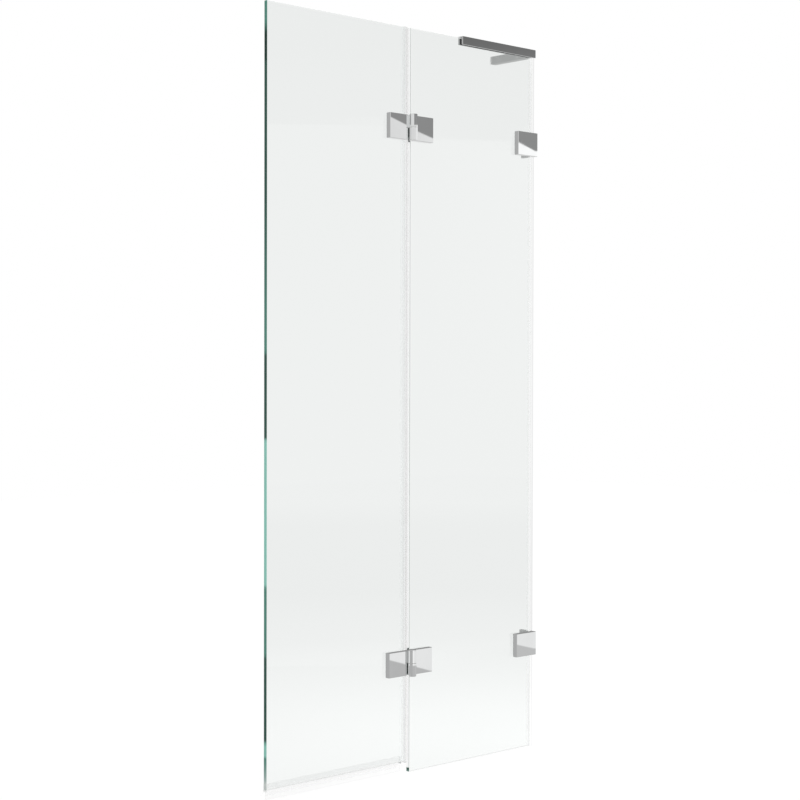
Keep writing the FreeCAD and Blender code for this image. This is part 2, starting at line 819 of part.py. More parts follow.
doc.recompute()
for thing in doc.Objects:
    if "Invalid" in thing.State or "Error" in thing.State:
        raise RuntimeError(f"{thing.Label} failed: {thing.State}")
os.makedirs("parts", exist_ok=True)
for body in subParts:
    if body.Shape.isNull() or not body.Shape.isValid():
        raise RuntimeError(f"{body.Label} has no valid shape")
    body.Shape.exportStep(f"parts/{body.Label}.step")
print(f"{len(subParts)} sub-parts written")
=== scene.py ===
import math

import bmesh
import bpy
from mathutils import Matrix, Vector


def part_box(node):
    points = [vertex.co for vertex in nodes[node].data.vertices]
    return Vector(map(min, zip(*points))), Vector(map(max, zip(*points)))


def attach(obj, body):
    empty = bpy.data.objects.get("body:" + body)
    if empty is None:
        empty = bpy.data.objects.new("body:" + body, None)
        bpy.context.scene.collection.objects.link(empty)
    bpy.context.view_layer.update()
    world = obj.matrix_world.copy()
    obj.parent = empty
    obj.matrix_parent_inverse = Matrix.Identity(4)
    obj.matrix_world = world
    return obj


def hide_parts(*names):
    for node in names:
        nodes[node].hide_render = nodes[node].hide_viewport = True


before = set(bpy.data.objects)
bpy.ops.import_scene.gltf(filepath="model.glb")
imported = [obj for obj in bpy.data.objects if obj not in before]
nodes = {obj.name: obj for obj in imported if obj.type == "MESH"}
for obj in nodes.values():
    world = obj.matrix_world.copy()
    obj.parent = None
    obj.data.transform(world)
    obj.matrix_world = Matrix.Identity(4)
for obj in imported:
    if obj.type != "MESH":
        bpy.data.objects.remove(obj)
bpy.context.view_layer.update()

scene = bpy.context.scene
scene.view_settings.view_transform = "Standard"
print("frame loaded, nodes:", len(nodes))


# camera, fitted to the corners of both panes and all the plates
cameraSet = {
    "place": (-2.72718, -2.48203, 0.80403),
    "turn": 43.265,      # degrees from +Y towards +X
    "down": 0.896,
    "roll": 0.121,
    "lens": 76.345,
    "shiftY": 0.001,
}

lens = bpy.data.cameras.new("camera")
lens.sensor_width = 36.0
lens.lens = cameraSet["lens"]
lens.shift_y = cameraSet["shiftY"]
lens.clip_end = 60.0
camera = bpy.data.objects.new("camera", lens)
scene.collection.objects.link(camera)
upright = Matrix.Rotation(math.radians(-cameraSet["turn"]), 4, "Z")
tilt = Matrix.Rotation(math.radians(90.0 - cameraSet["down"]), 4, "X")
twist = Matrix.Rotation(math.radians(cameraSet["roll"]), 4, "Z")
camera.matrix_world = Matrix.Translation(cameraSet["place"]) @ upright @ tilt @ twist
scene.camera = camera
print("camera set")


# a node of one tree, with its sockets filled: a value is set, a socket is linked
def addNode(tree, kind, inputs=None, **settings):
    node = tree.nodes.new("ShaderNode" + kind)
    for name, value in settings.items():
        setattr(node, name, value)
    for name, value in (inputs or {}).items():
        if isinstance(value, bpy.types.NodeSocket):
            tree.links.new(value, node.inputs[name])
        else:
            node.inputs[name].default_value = value
    return node


def sumOf(tree, operation, first, second=0.0, third=0.0):
    parts = {0: first, 1: second, 2: third}
    return addNode(tree, "Math", parts, operation=operation).outputs[0]


def fade(tree, value, low, high, fromLow=0.0, toHigh=1.0, smooth=True):
    parts = {"Value": value, "From Min": low, "From Max": high,
             "To Min": fromLow, "To Max": toHigh}
    kind = "SMOOTHSTEP" if smooth else "LINEAR"
    return addNode(tree, "MapRange", parts, interpolation_type=kind).outputs[0]


# colours are written as they look on a screen, 0 to 255, and turned linear by the sRGB curve
def screenColour(red, green, blue):
    made = []
    for part in (red, green, blue):
        level = part / 255.0
        made.append(level / 12.92 if level <= 0.04045 else ((level + 0.055) / 1.055) ** 2.4)
    return (*made, 1.0)


def ramp(tree, value, stops):
    node = addNode(tree, "ValToRGB", {"Fac": value})
    band = node.color_ramp
    while len(band.elements) < len(stops):
        band.elements.new(0.5)
    for element, (place, colour) in zip(band.elements, sorted(stops)):
        element.position = place
        element.color = colour
    return node.outputs["Color"]


# a colour mix has its two colours at sockets 6 and 7, and the mixed one at output 2
def mixColour(tree, factor, first, second, kind="MIX"):
    node = addNode(tree, "Mix", {"Factor": factor}, data_type="RGBA", blend_type=kind)
    for socket, value in ((node.inputs[6], first), (node.inputs[7], second)):
        if isinstance(value, bpy.types.NodeSocket):
            tree.links.new(value, socket)
        else:
            socket.default_value = value
    return node.outputs[2]


def grey(level):
    return (level, level, level, 1.0)


# studio, as polished metal shows it: a pale band all round, with its own tones above and below
degreesInRadian = 180.0 / math.pi

studioSet = {
    # degrees round from -Y, and the band's edges in degrees up or down
    "bandTop": [(42.0, 8.6), (42.9, 8.62), (43.45, 8.35), (43.85, 8.12),
                (44.35, 7.90), (45.5, 7.85), (47.2, 7.78), (47.8, 7.46), (49.0, 7.5)],
    "bandFoot": [(42.0, 9.6), (42.9, 9.58), (44.35, 9.94), (45.5, 9.4),
                 (47.2, 9.04), (47.8, 9.16), (49.0, 9.2)],
    "topAround": 8.34,       # the same edges on the rest of the way round
    "footAround": 9.77,
    "edgeFrom": 42.0,        # the part of the round that the two edges are given for
    "edgeTo": 49.0,
    "edge": 0.03,            # how soft the band's edges are, degrees
    "rampTop": 10.0,         # degrees up or down that a ramp's full level stands for
    # degrees up, where one ring of tones fades into the next
    "lowToHigh": (-6.0, 6.0),
    "aboveToHigher": (9.4, 11.2),
    "higherToRoof": (35.0, 65.0),
    # degrees round, and how light the studio is there, 0 to 255
    "above": [(-180, 165), (-150, 165), (-142, 176), (-131, 176), (-124, 222), (-27, 226),
              (-21, 144), (120, 144), (180, 160)],
    "higher": [(-180, 165), (-142, 176), (-131, 176), (-122, 190), (-60, 200), (-27, 190),
               (-21, 111), (120, 111), (180, 150)],
    "bandHigh": [(-180, 165), (-150, 165), (-142, 176), (-131, 176), (-124, 222), (-20, 222),
                 (0, 228), (43.5, 226), (47, 263), (80, 246), (120, 230), (180, 176)],
    "bandLow": [(-180, 240), (-150, 240), (-142, 176), (-131, 176), (-124, 190), (-89, 184),
                (-72, 182), (-59, 172), (-45, 184), (-35, 200), (-27, 225), (-23, 255),
                (-11, 255), (-4, 238), (43.5, 238), (47, 237), (80, 236), (180, 200)],
    "below": [(-180, 240), (-150, 235), (-142, 176), (-131, 176), (-124, 190), (-89, 184),
              (-72, 180), (-59, 174), (-45, 180), (-28, 188), (43.5, 187), (47, 196),
              (120, 190), (180, 200)],
    "roof": 208,
    "plain": 0.93,           # the level that falls on matt surfaces
}


def makeStudio():
    world = bpy.data.worlds.new("studio")
    scene.world = world
    world.use_nodes = True
    tree = world.node_tree
    tree.nodes.clear()
    ray = addNode(tree, "TexCoord").outputs["Generated"]
    parts = addNode(tree, "SeparateXYZ", {"Vector": ray}).outputs
    fromFront = sumOf(tree, "MULTIPLY", parts["Y"], -1.0)
    circled = sumOf(tree, "ARCTAN2", parts["X"], fromFront)
    turn = sumOf(tree, "MULTIPLY_ADD", circled, 0.5 / math.pi, 0.5)
    rise = sumOf(tree, "MULTIPLY", sumOf(tree, "ARCSINE", parts["Z"]), degreesInRadian)

    def around(key):
        stops = [((degrees + 180.0) / 360.0, screenColour(level, level, level))
                 for degrees, level in studioSet[key]]
        return ramp(tree, turn, stops)

    low, high = studioSet["edgeFrom"], studioSet["edgeTo"]
    degreesRound = sumOf(tree, "MULTIPLY", circled, degreesInRadian)
    between = fade(tree, degreesRound, low, high, smooth=False)
    ahead = sumOf(tree, "COMPARE", degreesRound, (low + high) / 2.0, (high - low) / 2.0)

    # a ramp holds 0 to 1, so the heights go in as shares of its full level
    def bandEdge(key, elsewhere):
        top = studioSet["rampTop"]
        stops = [((degrees - low) / (high - low), grey(height / top))
                 for degrees, height in studioSet[key]]
        level = addNode(tree, "SeparateColor", {"Color": ramp(tree, between, stops)}).outputs[0]
        there = fade(tree, ahead, 0.0, 1.0, studioSet[elsewhere] / top, level, smooth=False)
        return sumOf(tree, "MULTIPLY", there, top)

    def rising(key):
        return fade(tree, rise, *studioSet[key])

    soft = studioSet["edge"]
    overTop = sumOf(tree, "SUBTRACT", rise, bandEdge("bandTop", "topAround"))
    overFoot = sumOf(tree, "ADD", rise, bandEdge("bandFoot", "footAround"))
    band = mixColour(tree, rising("lowToHigh"), around("bandLow"), around("bandHigh"))
    lower = mixColour(tree, fade(tree, overFoot, -soft, soft), around("below"), band)
    upper = mixColour(tree, rising("aboveToHigher"), around("above"), around("higher"))
    roof = screenColour(*(studioSet["roof"],) * 3)
    overhead = mixColour(tree, rising("higherToRoof"), upper, roof)
    mirrored = mixColour(tree, fade(tree, overTop, -soft, soft), lower, overhead)

    def background(colour, strength):
        parts = {"Color": colour, "Strength": strength}
        return addNode(tree, "Background", parts).outputs[0]

    path = addNode(tree, "LightPath").outputs
    studio = background(mirrored, 1.0)
    plain = background(grey(1.0), studioSet["plain"])
    white = background(grey(1.0), 1.0)
    # a ray that turns back inside a pane has entered once more than it has left
    inPane = sumOf(tree, "MODULO", path["Transmission Depth"], 2.0)
    outside = sumOf(tree, "SUBTRACT", 1.0, inPane)
    turned = sumOf(tree, "MULTIPLY", path["Is Reflection Ray"], path["Is Glossy Ray"])
    inMetal = sumOf(tree, "MULTIPLY", turned, outside)
    straight = sumOf(tree, "MAXIMUM", path["Is Camera Ray"], path["Is Transmission Ray"])
    seen = sumOf(tree, "MAXIMUM", straight, turned)
    lit = addNode(tree, "MixShader", {"Fac": seen, 1: plain, 2: white}).outputs[0]
    both = addNode(tree, "MixShader", {"Fac": inMetal, 1: lit, 2: studio}).outputs[0]
    addNode(tree, "OutputWorld", {"Surface": both})


makeStudio()


# floor and lamp
floorSet = {
    "size": 14.0,
    "cuts": 12,
    "bounce": 0.8,      # how much light it sends back to surfaces
    "matt": 0.1,        # the share of the floor's white that shadows can darken
    "glow": 0.92,
    # seen through the glass: a painted pool of light, brightest by the screen, as metres from the
    # screen and level
    "paintedPool": [(0.0, 1.18), (0.15, 1.16), (0.4, 1.135), (0.85, 1.07), (1.5, 1.0), (2.6, 0.965),
             (5.3, 0.972), (6.9, 1.0)],
    "brightest": 1.2,
}
lampSet = {"place": (-2.4, -3.4, 3.2), "aim": (-0.37, 0.0, 0.8), "size": 2.4, "power": 60.0}


def makeFloor():
    bpy.ops.object.select_all(action="DESELECT")
    cuts = floorSet["cuts"]
    bpy.ops.mesh.primitive_grid_add(x_subdivisions=cuts, y_subdivisions=cuts,
                                    size=floorSet["size"], location=(0.0, 0.0, 0.0))
    floor = bpy.context.object
    floor.name = "floor"
    material = bpy.data.materials.new("paleFloor")
    material.use_nodes = True
    tree = material.node_tree
    tree.nodes.clear()
    place = addNode(tree, "TexCoord").outputs["Object"]
    away = addNode(tree, "VectorMath", {0: place}, operation="LENGTH").outputs["Value"]
    far = floorSet["size"] / 2.0
    level, top = floorSet["matt"], floorSet["brightest"]
    # the painted pool of light on the floor, which only rays through the glass see
    stops = [(metres / far, grey((share - level) / top)) for metres, share in floorSet["paintedPool"]]
    paintedPool = ramp(tree, sumOf(tree, "DIVIDE", away, far), stops)
    path = addNode(tree, "LightPath").outputs
    matt = addNode(tree, "BsdfDiffuse", {"Color": grey(level)}).outputs[0]
    tone = mixColour(tree, path["Is Camera Ray"], paintedPool, grey(floorSet["glow"] / top))
    glow = addNode(tree, "Emission", {"Color": tone, "Strength": top}).outputs[0]
    shown = addNode(tree, "AddShader", {0: matt, 1: glow}).outputs[0]
    pale = addNode(tree, "BsdfDiffuse", {"Color": grey(floorSet["bounce"])}).outputs[0]
    seen = sumOf(tree, "MAXIMUM", path["Is Camera Ray"], path["Is Transmission Ray"])
    both = addNode(tree, "MixShader", {"Fac": seen, 1: pale, 2: shown}).outputs[0]
    addNode(tree, "OutputMaterial", {"Surface": both})
    floor.data.materials.append(material)
    floor.visible_glossy = False


def makeLamp():
    light = bpy.data.lights.new("softLamp", "AREA")
    light.shape = "SQUARE"
    light.size = lampSet["size"]
    light.energy = lampSet["power"]
    lamp = bpy.data.objects.new("softLamp", light)
    scene.collection.objects.link(lamp)
    away = [a - b for a, b in zip(lampSet["aim"], lampSet["place"])]
    tipped = math.atan2(math.hypot(away[0], away[1]), -away[2])
    turned = math.atan2(away[1], away[0]) - math.pi / 2
    lamp.location = lampSet["place"]
    lamp.rotation_euler = (tipped, 0.0, turned)
    lamp.visible_glossy = False
    lamp.visible_transmission = False


makeFloor()
makeLamp()
print("studio, floor and lamp set")


# materials
def newMaterial(name):
    material = bpy.data.materials.new(name)
    material.use_nodes = True
    tree = material.node_tree
    return material, tree, tree.nodes["Principled BSDF"]


def fill(tree, shader, **inputs):
    for name, value in inputs.items():
        socket = shader.inputs[name.replace("_", " ")]
        if isinstance(value, bpy.types.NodeSocket):
            tree.links.new(value, socket)
        else:
            socket.default_value = value


# most of a noise's values lie between these
noiseSpan = (0.3, 0.7)


def noise(tree, scale, detail=2.0, rough=0.5, stretch=(1.0, 1.0, 1.0), warp=0.0):
    place = addNode(tree, "TexCoord").outputs["Object"]
    stretched = addNode(tree, "Mapping", {"Vector": place, "Scale": stretch}).outputs[0]
    parts = {"Vector": stretched, "Scale": scale, "Detail": detail, "Roughness": rough,
             "Distortion": warp}
    return addNode(tree, "TexNoise", parts).outputs[0]


def bump(tree, height, depth, strength=1.0, under=None):
    parts = {"Height": height, "Distance": depth, "Strength": strength}
    if under is not None:
        parts["Normal"] = under
    return addNode(tree, "Bump", parts).outputs[0]


# toughened clear glass: green where it is seen edge on, with ground and polished edges, and
# painted reflections and painted shadow on its edges
glassSet = {
    "face": (239, 241, 240),
    "height": 1.5,
    "reflect": 0.09,
    "tones": {"seal": (186, 193, 190), "frost": (152, 171, 167), "mist": (118, 149, 141),
              "light": (134, 188, 175), "mid": (82, 130, 117), "dark": (52, 82, 73),
              "deep": (35, 57, 50), "clear": (214, 226, 222)},
    # heights in metres up the free edge: the seal's end, then painted reflections of the studio
    # as light and dark bands
    "freeEdge": [(0.000, "seal"), (0.035, "seal"), (0.043, "frost"), (0.060, "mist"),
                 (0.083, "mid"), (0.087, "light"), (0.110, "light"), (0.114, "dark"),
                 (0.272, "dark"), (0.277, "mid"), (0.403, "mid"), (0.408, "light"),
                 (0.679, "light"), (0.684, "dark"), (0.841, "dark"), (0.845, "mid"),
                 (0.880, "mid"), (1.128, "dark"), (1.385, "dark"), (1.392, "deep"),
                 (1.440, "deep"), (1.462, "mid"), (1.500, "mid")],
    # the other edges: painted reflections of the studio, lighter and darker up their height
    "otherEdge": [(0.0, "mid"), (0.015, "mid"), (0.02, "clear"), (0.03, "clear"),
                  (0.05, "mid"), (0.45, "light"), (1.0, "dark"), (1.5, "mid")],
    # the edge behind the clear strip: bare at its foot, with painted shadow behind the hinges
    "stripEdge": [(0.000, "mist"), (0.003, "dark"), (0.0095, "dark"), (0.0105, "clear"),
                  (0.193, "clear"), (0.195, "deep"), (0.221, "deep"), (0.223, "clear"),
                  (1.278, "clear"), (1.280, "deep"), (1.301, "deep"), (1.303, "clear")],
    "stripDark": 0.35,      # paler than this and the strip's edge stays clear
    "arris": (178, 184, 181),
    "levelArris": (226, 229, 228),
    "edgeFacing": 0.5,               # a face is on an edge when it faces aside by more
    "arrisFacing": (0.707, 0.15),    # how far an arris faces aside, and give or take
    "stripEdgeAt": -0.3655,
    "freeEdgeAt": -0.7355,
    "index": 1.5,
    "wobbleNoise": {"scale": 26.0, "detail": 3.0, "stretch": (0.2, 0.2, 1.0)},
    "wobble": 0.004,                 # metres that the bands of tone move up and down
    "lineNoise": {"scale": 900.0, "stretch": (1.0, 1.0, 0.02)},
    "lineShade": (0.9, 1.06),
    "lineDepth": 0.00003,
    "polishNoise": {"scale": 45.0, "detail": 4.0},
    "polishSpan": (0.35, 0.7),
    "polish": (0.14, 0.3),
    "rippleNoise": {"scale": 5.0, "detail": 1.0, "stretch": (1.0, 1.0, 0.6)},
    "rippleDepth": 0.00004,
}


def makeGlass(name, banded):
    s = glassSet
    material, tree, shader = newMaterial(name)
    coordinate = addNode(tree, "TexCoord").outputs
    facing = addNode(tree, "SeparateXYZ", {"Vector": coordinate["Normal"]}).outputs
    place = addNode(tree, "SeparateXYZ", {"Vector": coordinate["Object"]}).outputs
    sideways = sumOf(tree, "ABSOLUTE", facing["X"])
    upwards = sumOf(tree, "ABSOLUTE", facing["Z"])
    turned = sumOf(tree, "MAXIMUM", sideways, upwards)
    aside = sumOf(tree, "GREATER_THAN", turned, s["edgeFacing"])
    # from within the pane its edges stay clear
    outer = sumOf(tree, "SUBTRACT", 1.0, addNode(tree, "NewGeometry").outputs["Backfacing"])
    edge = sumOf(tree, "MULTIPLY", aside, outer)

    # grinding marks run along the edge, and move the painted bands up and down a little
    wobble = noise(tree, **s["wobbleNoise"])
    moved = sumOf(tree, "MULTIPLY_ADD", wobble, s["wobble"], -s["wobble"] / 2.0)
    height = sumOf(tree, "ADD", place["Z"], moved)
    level = sumOf(tree, "DIVIDE", height, s["height"])

    # each edge's tones up its height: painted reflections of the studio, and painted shadow
    # behind the hinges
    def climb(key):
        stops = [(z / s["height"], screenColour(*s["tones"][tone])) for z, tone in s[key]]
        return ramp(tree, level, stops)

    key = "freeEdge" if banded else "stripEdge"
    left = sumOf(tree, "LESS_THAN", place["X"], s[key + "At"])
    leftGreen = climb(key)
    green = mixColour(tree, left, climb("otherEdge"), leftGreen)
    if not banded:
        # behind the strip the edge is clear, except at its bare foot and the painted shadow
        # behind the hinges, and only its ground arris shows as a thin line
        pale = sumOf(tree, "GREATER_THAN", leftGreen, s["stripDark"])
        arris = sumOf(tree, "COMPARE", sideways, *s["arrisFacing"])
        behind = sumOf(tree, "MULTIPLY", left, pale)
        ground = sumOf(tree, "MULTIPLY", behind, arris)
        hidden = sumOf(tree, "SUBTRACT", behind, ground)
        edge = sumOf(tree, "MULTIPLY", edge, sumOf(tree, "SUBTRACT", 1.0, hidden))
        green = mixColour(tree, ground, green, screenColour(*s["arris"]))
    levelArris = sumOf(tree, "COMPARE", upwards, *s["arrisFacing"])
    green = mixColour(tree, levelArris, green, screenColour(*s["levelArris"]))
    lined = noise(tree, **s["lineNoise"])
    shade = fade(tree, lined, *noiseSpan, *s["lineShade"])
    shaded = addNode(tree, "CombineColor", {0: shade, 1: shade, 2: shade}).outputs[0]
    green = mixColour(tree, 1.0, green, shaded, "MULTIPLY")

    colour = mixColour(tree, edge, screenColour(*s["face"]), green)
    through = sumOf(tree, "SUBTRACT", 1.0, edge)
    polish = fade(tree, noise(tree, **s["polishNoise"]), *s["polishSpan"], *s["polish"])
    ripple = bump(tree, noise(tree, **s["rippleNoise"]), s["rippleDepth"])
    marks = bump(tree, lined, s["lineDepth"], under=ripple)
    fill(tree, shader, Base_Color=colour, Transmission_Weight=through,
         Roughness=sumOf(tree, "MULTIPLY", edge, polish), IOR=s["index"], Normal=marks,
         Specular_IOR_Level=s["reflect"])
    return material


# polished chrome plate, with a faint haze from wiping and hairline marks
chromeSet = {
    "colour": (245, 246, 246),
    "wiped": (242, 243, 243),
    "wipeNoise": {"scale": 34.0, "detail": 5.0, "rough": 0.6, "warp": 0.6},
    "wipeSpan": (0.3, 0.75),
    "spotNoise": {"scale": 420.0},
    "spotShare": 0.25,
    "hazeSpan": (0.4, 0.7),
    "haze": (0.003, 0.014),
    "hairNoise": {"scale": 700.0, "stretch": (1.0, 1.0, 0.03), "warp": 0.2},
    "hairDepth": 0.0000002,
    "hairStrength": 0.5,
}


def makeChrome():
    s = chromeSet
    material, tree, shader = newMaterial("polishedChrome")
    wiped = noise(tree, **s["wipeNoise"])
    spots = noise(tree, **s["spotNoise"])
    smears = sumOf(tree, "MULTIPLY", wiped, 1.0 - s["spotShare"])
    cloud = sumOf(tree, "MULTIPLY_ADD", spots, s["spotShare"], smears)
    tone = mixColour(tree, fade(tree, wiped, *s["wipeSpan"]), screenColour(*s["colour"]),
                     screenColour(*s["wiped"]))
    hairs = noise(tree, **s["hairNoise"])
    fill(tree, shader, Base_Color=tone, Metallic=1.0,
         Roughness=fade(tree, cloud, *s["hazeSpan"], *s["haze"]),
         Normal=bump(tree, hairs, s["hairDepth"], s["hairStrength"]))
    return material


# clear strips: drawn lines along their length, and greyer at the cut ends. Each has levels along
# an axis, metres and 0 to 255, for how much its walls and webs darken what is behind: painted
# shade in the strip's colour
stripSet = {
    "clear": (253, 254, 254),
    "reflect": 0.2,
    "index": 1.1,
    "lineNoise": {"scale": 1400.0},
    "lineStretch": 0.01,
    "lineDepth": 0.000002,
    "lineStrength": 0.5,
    "lineHaze": (0.6, 1.4),     # times each strip's own haze
    "cloudNoise": {"scale": 40.0, "detail": 3.0, "rough": 0.6},
    "cloudStretch": 0.2,
    "cloudShare": 0.12,
    "endFacing": 0.9,           # a face is a cut end when its normal has more than this
    "edgeStrip": {"along": "Z", "axis": "X", "front": -0.0034, "frontTo": -0.3784,
                  "haze": 0.01,
                  "levels": [(-0.3902, 251), (-0.3862, 248), (-0.3815, 244), (-0.3795, 236),
                             (-0.3784, 232), (-0.3756, 233), (-0.3752, 247), (-0.3684, 247)],
                  "end": (214, 217, 216), "endClear": 0.5},
    "wallStrip": {"along": "Z", "axis": "X", "haze": 0.01,
                  "levels": [(-0.0130, 253), (-0.0085, 252), (-0.0070, 247), (-0.0030, 243),
                             (-0.0012, 233), (0.0, 233)],
                  "end": (200, 203, 202), "endClear": 0.4},
    "footStrip": {"along": "X", "axis": "Z", "haze": 0.01,
                  "levels": [(0.0200, 241), (0.0228, 241), (0.0234, 250), (0.0350, 250)],
                  "end": (212, 214, 213), "endClear": 0.5},
    "softLip": {"along": "X", "axis": "Y", "haze": 0.02,
                "levels": [(-0.0050, 242), (0.0030, 242), (0.0040, 252), (0.0120, 252)],
                "end": (240, 241, 241), "endClear": 0.9},
}


def makeStrip(name):
    s, settings = stripSet, stripSet[name]
    material, tree, shader = newMaterial(name)
    upright = settings["along"] == "Z"
    long, across = s["lineStretch"], s["cloudStretch"]
    lineStretch = (1.0, 1.0, long) if upright else (long, 1.0, 1.0)
    cloudStretch = (across, across, 1.0) if upright else (1.0, across, across)
    drawn = noise(tree, **s["lineNoise"], stretch=lineStretch)
    cloudy = noise(tree, **s["cloudNoise"], stretch=cloudStretch)
    coordinate = addNode(tree, "TexCoord").outputs
    place = addNode(tree, "SeparateXYZ", {"Vector": coordinate["Object"]}).outputs
    facing = addNode(tree, "SeparateXYZ", {"Vector": coordinate["Normal"]}).outputs
    # painted shade along the axis, from the levels
    low, high = settings["levels"][0][0], settings["levels"][-1][0]
    reach = fade(tree, place[settings["axis"]], low, high, smooth=False)
    stops = [((at - low) / (high - low), screenColour(level, level, level))
             for at, level in settings["levels"]]
    tone = ramp(tree, reach, stops)
    if "front" in settings:
        # the wall behind the pane stays clear, with no painted shade
        ahead = sumOf(tree, "LESS_THAN", place["Y"], settings["front"])
        beside = sumOf(tree, "GREATER_THAN", place["X"], settings["frontTo"])
        shown = sumOf(tree, "MAXIMUM", ahead, beside)
        tone = mixColour(tree, shown, screenColour(*s["clear"]), tone)
    clouded = fade(tree, cloudy, *noiseSpan, 0.0, s["cloudShare"])
    tone = mixColour(tree, clouded, tone, screenColour(*s["clear"]))
    endwise = sumOf(tree, "ABSOLUTE", facing[settings["along"]])
    atEnd = sumOf(tree, "GREATER_THAN", endwise, s["endFacing"])
    colour = mixColour(tree, atEnd, tone, screenColour(*settings["end"]))
    through = fade(tree, atEnd, 0.0, 1.0, 1.0, settings["endClear"], smooth=False)
    haze = [settings["haze"] * share for share in s["lineHaze"]]
    fill(tree, shader, Base_Color=colour, Transmission_Weight=through,
         Roughness=fade(tree, drawn, *noiseSpan, *haze), IOR=s["index"],
         Specular_IOR_Level=s["reflect"],
         Normal=bump(tree, drawn, s["lineDepth"], s["lineStrength"]))
    return material


# rubber sheet with a fine moulded grain: grey behind the plates, nearly black in the brace
rubberSet = {"gasketSheet": {"colour": (150, 153, 153), "dust": (172, 174, 173)},
             "linerSheet": {"colour": (56, 58, 58), "dust": (76, 78, 77)},
             "grainNoise": {"scale": 2600.0, "detail": 3.0, "rough": 0.6},
             "grainDepth": 0.00003, "grainStrength": 0.7, "rough": (0.5, 0.75),
             "dustNoise": {"scale": 90.0, "detail": 4.0, "rough": 0.6},
             "dustSpan": (0.45, 0.75)}


def makeRubber(name):
    s = rubberSet
    material, tree, shader = newMaterial(name)
    grain = noise(tree, **s["grainNoise"])
    dusty = fade(tree, noise(tree, **s["dustNoise"]), *s["dustSpan"])
    tone = mixColour(tree, dusty, screenColour(*s[name]["colour"]),
                     screenColour(*s[name]["dust"]))
    fill(tree, shader, Base_Color=tone, Roughness=fade(tree, grain, *noiseSpan, *s["rough"]),
         Normal=bump(tree, grain, s["grainDepth"], s["grainStrength"]))
    return material


# white bearing nylon, slightly waxy
nylonSet = {"colour": (204, 205, 203), "worn": (188, 188, 185), "rough": (0.32, 0.48),
            "mottleNoise": {"scale": 240.0, "detail": 4.0, "rough": 0.55},
            "wornSpan": (0.35, 0.7), "grainNoise": {"scale": 1500.0},
            "grainDepth": 0.00003, "grainStrength": 0.6, "glow": 0.15, "glowReach": 0.002}


def makeNylon():
    s = nylonSet
    material, tree, shader = newMaterial("bearingNylon")
    mottle = noise(tree, **s["mottleNoise"])
    grain = noise(tree, **s["grainNoise"])
    tone = mixColour(tree, fade(tree, mottle, *s["wornSpan"]), screenColour(*s["colour"]),
                     screenColour(*s["worn"]))
    fill(tree, shader, Base_Color=tone, Roughness=fade(tree, mottle, *noiseSpan, *s["rough"]),
         Subsurface_Weight=s["glow"], Subsurface_Radius=(s["glowReach"],) * 3,
         Normal=bump(tree, grain, s["grainDepth"], s["grainStrength"]))
    return material


# turned stainless steel for the screws
steelSet = {"colour": (196, 197, 198), "dark": (168, 169, 171), "rough": (0.18, 0.34),
            "ringNoise": {"scale": 1100.0, "detail": 3.0, "rough": 0.6,
                          "stretch": (1.0, 0.15, 1.0)},
            "ringDepth": 0.00001, "ringStrength": 0.7}


def makeSteel():
    s = steelSet
    material, tree, shader = newMaterial("turnedSteel")
    rings = noise(tree, **s["ringNoise"])
    tone = mixColour(tree, fade(tree, rings, *noiseSpan), screenColour(*s["colour"]),
                     screenColour(*s["dark"]))
    fill(tree, shader, Base_Color=tone, Metallic=1.0,
         Roughness=fade(tree, rings, *noiseSpan, *s["rough"]),
         Normal=bump(tree, rings, s["ringDepth"], s["ringStrength"]))
    return material


finishes = {
    "glass": makeGlass("toughenedGlass", False),
    "freeGlass": makeGlass("toughenedGlassFree", True),
    "chrome": makeChrome(),
    "edgeStrip": makeStrip("edgeStrip"),
    "wallStrip": makeStrip("wallStrip"),
    "footStrip": makeStrip("footStrip"),
    "softLip": makeStrip("softLip"),
    "gasket": makeRubber("gasketSheet"),
    "liner": makeRubber("linerSheet"),
    "nylon": makeNylon(),
    "screw_steel": makeSteel(),
}

special = {"door_glass": "freeGlass", "door_edge_seal": "edgeStrip",
           "door_bottom_seal": "footStrip", "door_bottom_lip": "softLip"}

for name, node in nodes.items():
    kind = "wallStrip" if name.startswith("wall_seal") else special.get(name)
    for slot in node.material_slots:
        slot.material = finishes[kind or slot.material.name.split(".")[0]]
print("materials on", len(nodes), "nodes")


# modelling: lengths are in millimetres, and points and faces are chosen by place
mm = 0.001
axes = {"X": 0, "Y": 1, "Z": 2}
merge = 0.000001       # metres, for cuts and doubled points
near = 0.1             # millimetres, for points that are chosen by place
toward = 0.5           # a face looks along an axis when its normal has more than this


def boxOf(node):
    low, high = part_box(node)
    return [part / mm for part in low], [part / mm for part in high]


def choose(kind, wanted):
    bpy.ops.mesh.select_mode(type=kind)
    bpy.ops.mesh.select_all(action="DESELECT")
    mesh = bpy.context.edit_object.data
    work = bmesh.from_edit_mesh(mesh)
    for item in (work.verts if kind == "VERT" else work.faces):
        middle = item.co if kind == "VERT" else item.calc_center_median()
        if wanted(middle / mm, item.normal):
            item.select_set(True)
    work.select_flush_mode()
    bmesh.update_edit_mesh(mesh)


def push(x=0.0, y=0.0, z=0.0):
    bpy.ops.mesh.extrude_region_move(TRANSFORM_OT_translate={"value": (x * mm, y * mm, z * mm)})


def shift(x=0.0, y=0.0, z=0.0):
    bpy.ops.transform.translate(value=(x * mm, y * mm, z * mm))


def squeeze(scale, about):
    bpy.ops.transform.resize(value=scale, center_override=tuple(part * mm for part in about))


# narrower across, about the middle of the pane
def thin(share):
    squeeze((1.0, share, 1.0), (0.0, 0.0, 0.0))


def faceOut():
    bpy.ops.mesh.select_all(action="SELECT")
    bpy.ops.mesh.normals_make_consistent(inside=False)


def cutAt(axis, places):
    for place in places:
        point = [0.0, 0.0, 0.0]
        point[axes[axis]] = place * mm
        normal = [float(axes[axis] == number) for number in range(3)]
        bpy.ops.mesh.select_all(action="SELECT")
        bpy.ops.mesh.bisect(plane_co=point, plane_no=normal, threshold=merge)


